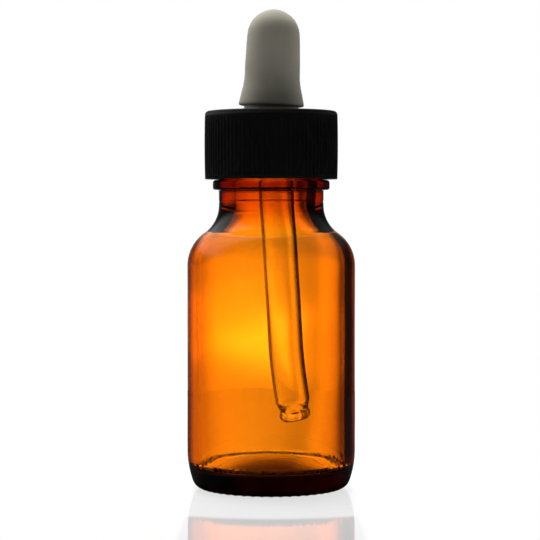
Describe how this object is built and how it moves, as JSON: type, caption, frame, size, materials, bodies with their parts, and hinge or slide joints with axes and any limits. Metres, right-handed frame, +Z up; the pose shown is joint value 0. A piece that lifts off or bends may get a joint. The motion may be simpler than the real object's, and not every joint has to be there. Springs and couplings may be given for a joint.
{
  "type": "dropper bottle",
  "caption": "Round glass bottle with a ribbed screw cap, a rubber squeeze bulb and a glass pipette that lifts out with the cap.",
  "frame": {"origin": "centre of the base, on the surface that the bottle stands on", "axes": "+Z up along the bottle's axis, +X towards the side that the pipette's tip leans to, -Y towards the viewer of the picture"},
  "size_m": [0.033, 0.033, 0.0943],
  "materials": {
    "amber_glass": "clear polished amber",
    "clear_glass": "clear fire-polished",
    "black_plastic": "moulded, satin black",
    "grey_rubber": "smooth matt rubber"
  },
  "bodies": {
    "bottle": {"bottle": "amber_glass"},
    "dropper": {"pipette": "clear_glass"},
    "bulb": {"bulb": "grey_rubber"},
    "cap": {"cap": "black_plastic"}
  },
  "joints": [
    {"name": "dropper_lift", "type": "slide", "parent": "bottle", "child": "dropper", "axis": [-0.0628, 0, 0.998], "range_m": [0, 0.065]},
    {"name": "cap_turn", "type": "hinge", "parent": "dropper", "child": "cap", "pos_m": [0, 0, 0.0741], "axis": [0, 0, 1], "range_deg": [0, 450]},
    {"name": "bulb_squeeze", "type": "slide", "parent": "dropper", "child": "bulb", "axis": [0, 0, -1], "range_m": [0, 0.004], "stiffness_N_per_m": 300, "deforming": ["bulb"]}
  ]
}
